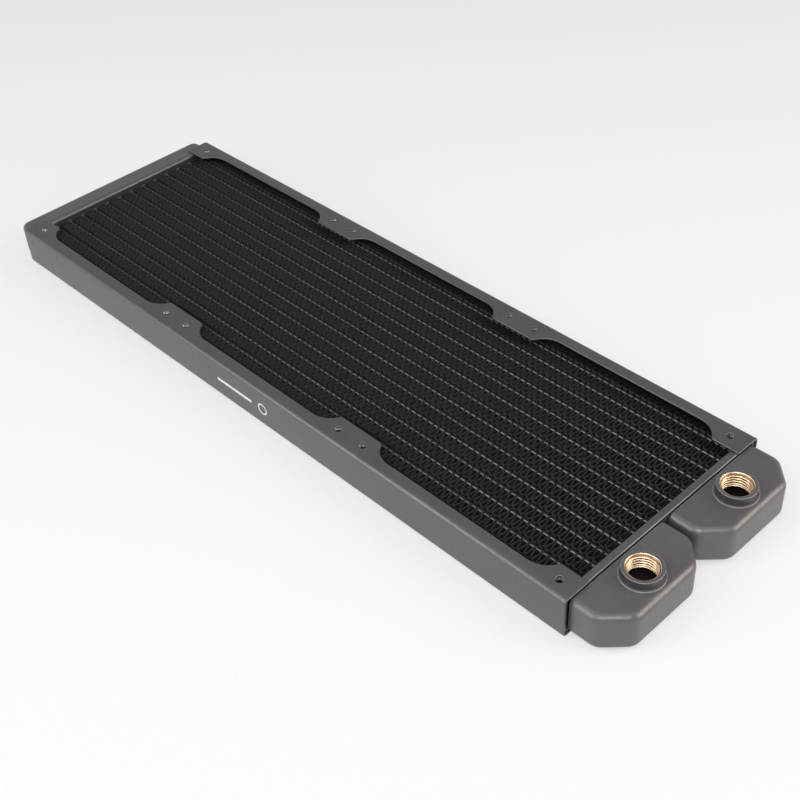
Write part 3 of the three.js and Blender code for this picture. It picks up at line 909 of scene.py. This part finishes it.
def tank_cup(name, corners, mouth_x, bore_place=None, turned=False):
    """A pressed cup. corners are its plan from one end of the mouth round to the other, at +X."""
    bm = bmesh.new()
    low, high = box_mm(name)
    plan = rounded_path(corners, TANK_CORNER_STEPS)
    strip = Vector((HOLD, 0))
    plan = [plan[0], plan[0] + strip, *plan[1:-1], plan[-1] + strip, plan[-1]]

    def shell(wall):
        """Rings round the cup from its bottom face to its top face, at a distance inside its outer skin."""
        edge = quarter_round(TANK_EDGE - wall, TANK_EDGE_STEPS)
        spots = [(TANK_EDGE - wall + HOLD, 0), *edge, (0, TANK_EDGE - wall + HOLD)]
        rings = []
        for moved_in, d in spots:
            path = inset(plan, wall + moved_in, closed=False)
            rings.append(ring(bm, [(point.x, point.y, low.z + wall + d) for point in path]))
        for moved_in, d in reversed(spots):
            path = inset(plan, wall + moved_in, closed=False)
            rings.append(ring(bm, [(point.x, point.y, high.z - wall - d) for point in path]))
        return rings

    def mouth(rings):
        """The shell's border at the mouth, once round."""
        return [row[0] for row in rings] + [row[-1] for row in reversed(rings)]

    outer, inner = shell(0), shell(TANK_WALL)
    loft(bm, outer, closed=False)
    loft(bm, inner, closed=False)
    section = [Vector((vertex.co.y, vertex.co.z)) for vertex in mouth(outer)]
    side = 1 if runs_anticlockwise(section) else -1

    def rim_ring(moved_in, d):
        return ring(bm, [(mouth_x + d, point.x, point.y) for point in inset(section, side * moved_in)])

    edge = [rim_ring(i, d) for i, d in reversed(quarter_round(TANK_RIM_EDGE)[:-1])]
    spigot = [(SPIGOT_INSET + TANK_RIM_EDGE, -d) for d in (0, SPIGOT_LENGTH)]
    spigot = [rim_ring(*spot) for spot in [*spigot, (TANK_WALL, -SPIGOT_LENGTH)]]
    # The mouth's rounded rim takes the lighter edge paint, a painted highlight.
    loft(bm, [mouth(outer), *edge], material=TANK_PAINTS.index(EDGE_HIGHLIGHT_PAINT))
    loft(bm, [edge[-1], *spigot, mouth(inner)])
    holes = ((), ())
    if bore_place is not None:
        hole_radius = SLEEVE_RADIUS + SLEEVE_GAP
        outline = circle(bore_place, hole_radius, BUSHING_SIDES)
        hole_rings = [ring(bm, [(p.x, p.y, z) for p in outline]) for z in (high.z, high.z - TANK_WALL)]
        loft(bm, hole_rings)
        holes = ([hole_rings[0]], [hole_rings[1]])
    faces = ((outer[0], ()), (outer[-1], holes[0]), (inner[0], ()), (inner[-1], holes[1]))
    for border, border_holes in faces:
        bm.faces.new((border[0], border[1], border[-2], border[-1]))
        cap(bm, border[1:-1], border_holes)
    mesh = mesh_of(bm, name, turned, (PATTERN_X, 0, 0))
    return add_piece(f"{name}_cup", mesh, TANK_PAINTS, "tank_paint", name)


def port_tank(side):
    """A tank with two cut corners and a hole for its port."""
    name = f"port_tank_{side}"
    low, high = box_mm(name)
    mouth_x, end_x = low.x - PATTERN_X, high.x - PATTERN_X
    cut = PORT_TANK_CHAMFER
    start_x = mouth_x + TANK_RIM_EDGE
    corners = [
        (start_x, low.y, 0),
        (end_x - cut, low.y, PORT_TANK_CORNER),
        (end_x, low.y + cut, PORT_TANK_CORNER),
        (end_x, high.y - cut, PORT_TANK_CORNER),
        (end_x - cut, high.y, PORT_TANK_CORNER),
        (start_x, high.y, 0),
    ]
    port_low, port_high = box_mm(f"port_bushing_{side}")
    port = (port_low + port_high) / 2
    return tank_cup(name, corners, mouth_x, (port.x - PATTERN_X, port.y))


def return_tank():
    """The shallow tank at the far end. It is drawn at the port end and turned."""
    low, high = box_mm("return_tank")
    mouth_x, end_x = PATTERN_X - high.x, PATTERN_X - low.x
    half_width = (high.y - low.y) / 2
    start_x = mouth_x + TANK_RIM_EDGE
    corners = [
        (start_x, -half_width, 0),
        (end_x, -half_width, RETURN_TANK_CORNER),
        (end_x, half_width, RETURN_TANK_CORNER),
        (start_x, half_width, 0),
    ]
    return tank_cup("return_tank", corners, mouth_x, turned=True)


# ---------------------------------------------------------------------------
# Port bushings
# ---------------------------------------------------------------------------


def shade_thread_roots(bm):
    """Gives the faces deep in the thread's groove the darker brass, a painted shade. The thread stands round
    the z axis.
    """
    for face in bm.faces:
        middle = face.calc_center_median()
        depth = middle.xy.length - THREAD_CREST_RADIUS
        if ROOT_SHARE * THREAD_HEIGHT < depth < THREAD_HEIGHT:
            face.material_index = BUSHING_PAINTS.index(BRASS_ROOT_SHADE)


def bushing(side):
    """A turned brass ring with a bare thread, painted outside. z = 0 is the tank's top while it is drawn."""
    bm = bmesh.new()
    name = f"port_bushing_{side}"
    low, high = box_mm(name)
    centre = (low + high) / 2
    tank_top = box_mm(f"port_tank_{side}")[1].z
    top = high.z - tank_top
    bottom = low.z - tank_top

    def spot_ring(spots):
        return ring(bm, [(r * math.cos(a), r * math.sin(a), z) for r, a, z in spots])

    def round_ring(radius, z):
        return spot_ring([(radius, math.tau * i / BUSHING_SIDES, z) for i in range(BUSHING_SIDES)])

    def round_rings(spots):
        return [round_ring(*spot) for spot in spots]

    thread_start = bottom + BUSHING_EDGE
    size = (THREAD_CREST_RADIUS, THREAD_HEIGHT, THREAD_PITCH)
    wall = threaded_wall(*size, thread_start, top - LIP, BUSHING_SIDES, MOUTH_RADIUS)
    thread = [spot_ring(row) for row in wall]
    sleeve_edge = quarter_round(BUSHING_EDGE)
    under = [round_ring(SLEEVE_RADIUS, 0)]
    under += [round_ring(SLEEVE_RADIUS - i, bottom + d) for i, d in reversed(sleeve_edge)]
    under += [round_ring(THREAD_CREST_RADIUS + i, bottom + d) for i, d in sleeve_edge[:-1]]
    lip = [(MOUTH_RADIUS + LIP, top), (MOUTH_RADIUS + LIP + HOLD, top)]
    lip += [(BUSHING_RADIUS - BUSHING_EDGE - HOLD, top), (BUSHING_RADIUS - BUSHING_EDGE, top)]
    lip_edge = [(BUSHING_RADIUS - i, top - d) for i, d in sleeve_edge[1:]]
    foot = [(BUSHING_RADIUS, top - BUSHING_EDGE - HOLD), (BUSHING_RADIUS, BUSHING_FOOT)]
    foot += [(SOLDER_RADIUS - SOLDER_BEAD - HOLD, SOLDER_BEAD), (SOLDER_RADIUS - SOLDER_BEAD, SOLDER_BEAD)]
    bead_edge = [(SOLDER_RADIUS - i, SOLDER_BEAD - d) for i, d in quarter_round(SOLDER_BEAD)[1:]]
    lip, lip_edge, foot, bead_edge = map(round_rings, (lip, lip_edge, foot, bead_edge))
    # The lip's edge and the solder bead's edge take the lighter edge paint, a painted highlight.
    wear_and_edge_highlight = BUSHING_PAINTS.index(EDGE_HIGHLIGHT_PAINT)
    loft(bm, [*under, *thread], material=BUSHING_PAINTS.index(BRASS))
    shade_thread_roots(bm)
    loft(bm, [thread[-1], *lip])
    loft(bm, [lip[-1], *lip_edge], material=wear_and_edge_highlight)
    # The outer wall between them takes the darker wall paint, a painted shade.
    loft(bm, [lip_edge[-1], *foot], material=BUSHING_PAINTS.index(BUSHING_WALL_SHADE))
    loft(bm, [foot[-1], *bead_edge], material=wear_and_edge_highlight)
    loft(bm, [bead_edge[-1], under[0]])
    mesh = mesh_of(bm, name, shift=(centre.x, centre.y, tank_top))
    return add_piece(f"{name}_ring", mesh, BUSHING_PAINTS, "brass", name)


# ---------------------------------------------------------------------------
# Stage
# ---------------------------------------------------------------------------

# The camera, with angles in degrees, and lens and distance in millimetres.
CAMERA_AZIMUTH = 48.31
CAMERA_ELEVATION = 40.57
CAMERA_ROLL = -3.76
CAMERA_LENS = 58.69
CAMERA_DISTANCE = 583.1
CAMERA_AIM = Vector((PATTERN_X + 40.8, -6.8, 0))

# The floor, in metres. It is shaded from its far part to its near part, measured towards the camera.
FLOOR_HALF = 6.0
FLOOR_FAR = -0.45
FLOOR_NEAR = 0.15
FLOOR_SHADES = ((0.472, 0.474, 0.478), (0.525, 0.525, 0.526))


def direction(azimuth, elevation):
    """Unit vector from the object towards a viewer. Azimuth 0 is -Y and 90 is +X."""
    a, e = math.radians(azimuth), math.radians(elevation)
    return Vector((math.sin(a) * math.cos(e), -math.cos(a) * math.cos(e), math.sin(e)))


def add_camera():
    """The scene's camera."""
    data = bpy.data.cameras.new("camera")
    data.lens = CAMERA_LENS
    data.clip_start = 0.01
    camera = bpy.data.objects.new("camera", data)
    bpy.context.scene.collection.objects.link(camera)
    back = direction(CAMERA_AZIMUTH, CAMERA_ELEVATION)
    turn = (-back).to_track_quat("-Z", "Y").to_matrix().to_4x4()
    roll = Matrix.Rotation(math.radians(CAMERA_ROLL), 4, "Z")
    place = Matrix.Translation((CAMERA_AIM + back * CAMERA_DISTANCE) * MM)
    camera.matrix_world = place @ turn @ roll
    bpy.context.scene.camera = camera


def add_soft_light(name, azimuth, elevation, distance, width, height, power, colour=WHITE):
    """A soft box, in metres and watts, that faces the object."""
    data = bpy.data.lights.new(name, "AREA")
    data.shape = "RECTANGLE"
    data.size = width
    data.size_y = height
    data.energy = power
    data.color = colour
    light = bpy.data.objects.new(name, data)
    bpy.context.scene.collection.objects.link(light)
    way = direction(azimuth, elevation)
    light.location = way * distance
    light.rotation_mode = "QUATERNION"
    light.rotation_quaternion = (-way).to_track_quat("-Z", "Y")


def add_floor():
    """Pale paper that glows a little, so that shadows on it stay faint."""
    mesh = bpy.data.meshes.new("floor")
    corners = [(x * FLOOR_HALF, y * FLOOR_HALF, 0) for x, y in ((-1, -1), (1, -1), (1, 1), (-1, 1))]
    mesh.from_pydata(corners, [], [(0, 1, 2, 3)])
    material, tree, shader = new_material("floor_paper")
    place = object_place(tree)
    nearness = add_node(tree, "ShaderNodeVectorMath", operation="DOT_PRODUCT")
    nearness.inputs[1].default_value = direction(CAMERA_AZIMUTH, 0)
    tree.links.new(place, nearness.inputs[0])
    near_share = spread(tree, nearness.outputs["Value"], 0.0, 1.0, FLOOR_FAR, FLOOR_NEAR)
    shade = ramp(tree, near_share, list(zip((0.0, 1.0), FLOOR_SHADES)))
    grain = spread(tree, noise(tree, place, 400.0), 0.0, 0.04)
    paper = mix_colour(tree, grain, shade, (0.4, 0.4, 0.4))
    tree.links.new(mix_colour(tree, 0.4, paper, BLACK), shader.inputs["Base Color"])
    tree.links.new(paper, shader.inputs["Emission Color"])
    shader.inputs["Emission Strength"].default_value = 1.0
    shader.inputs["Roughness"].default_value = 0.9
    mesh.materials.append(material)
    floor = bpy.data.objects.new("floor", mesh)
    bpy.context.scene.collection.objects.link(floor)


def add_world():
    """A studio that is bright along its walls and dim overhead."""
    world = bpy.data.worlds.new("world")
    world.use_nodes = True
    tree = world.node_tree
    axes = tree.nodes.new("ShaderNodeSeparateXYZ")
    tree.links.new(tree.nodes.new("ShaderNodeTexCoord").outputs["Generated"], axes.inputs["Vector"])
    brightness = ramp(tree, axes.outputs["Z"], [(0.15, (0.66, 0.67, 0.69)), (0.6, (0.24, 0.24, 0.25))])
    tree.links.new(brightness, tree.nodes["Background"].inputs["Color"])
    bpy.context.scene.world = world


def set_stage():
    """Everything round the radiator. The lights' numbers are in the order of add_soft_light."""
    add_world()
    add_floor()
    add_camera()
    add_soft_light("front_left_box", -27, 31, 1.5, 0.85, 1.3, 12)
    add_soft_light("right_back_box", 125, 28, 1.5, 0.9, 1.1, 13, (1.0, 0.89, 0.8))
    add_soft_light("camera_side_box", 42, 52, 1.5, 0.8, 0.8, 10)
    add_soft_light("top_box", 0, 88, 1.6, 1.6, 1.6, 7)
    bpy.context.scene.view_settings.view_transform = "Standard"


# ---------------------------------------------------------------------------
# The radiator
# ---------------------------------------------------------------------------


def carry_divider():
    """The divider keeps its CAD shape, with its edges broken."""
    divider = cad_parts["header_divider"]
    divider.material_slots[0].material = HOUSING_PAINT
    bevel = divider.modifiers.new("broken_edges", "BEVEL")
    bevel.width = DIVIDER_EDGE * MM
    bevel.segments = DIVIDER_EDGE_STEPS


set_stage()
side_channel("side_channel_left", False, HOUSING_PAINT)
side_channel("side_channel_right", True, PRINTED_PAINT)
header_pan("header_plate_port", False)
header_pan("header_plate_return", True)
carry_divider()
port_tank("left")
port_tank("right")
return_tank()
bushing("left")
bushing("right")
for tube_name in TUBE_NAMES:
    flat_tube(tube_name)
for fin_number, fin_name in enumerate(FIN_NAMES, start=1):
    fin_strip(fin_name, fin_number)
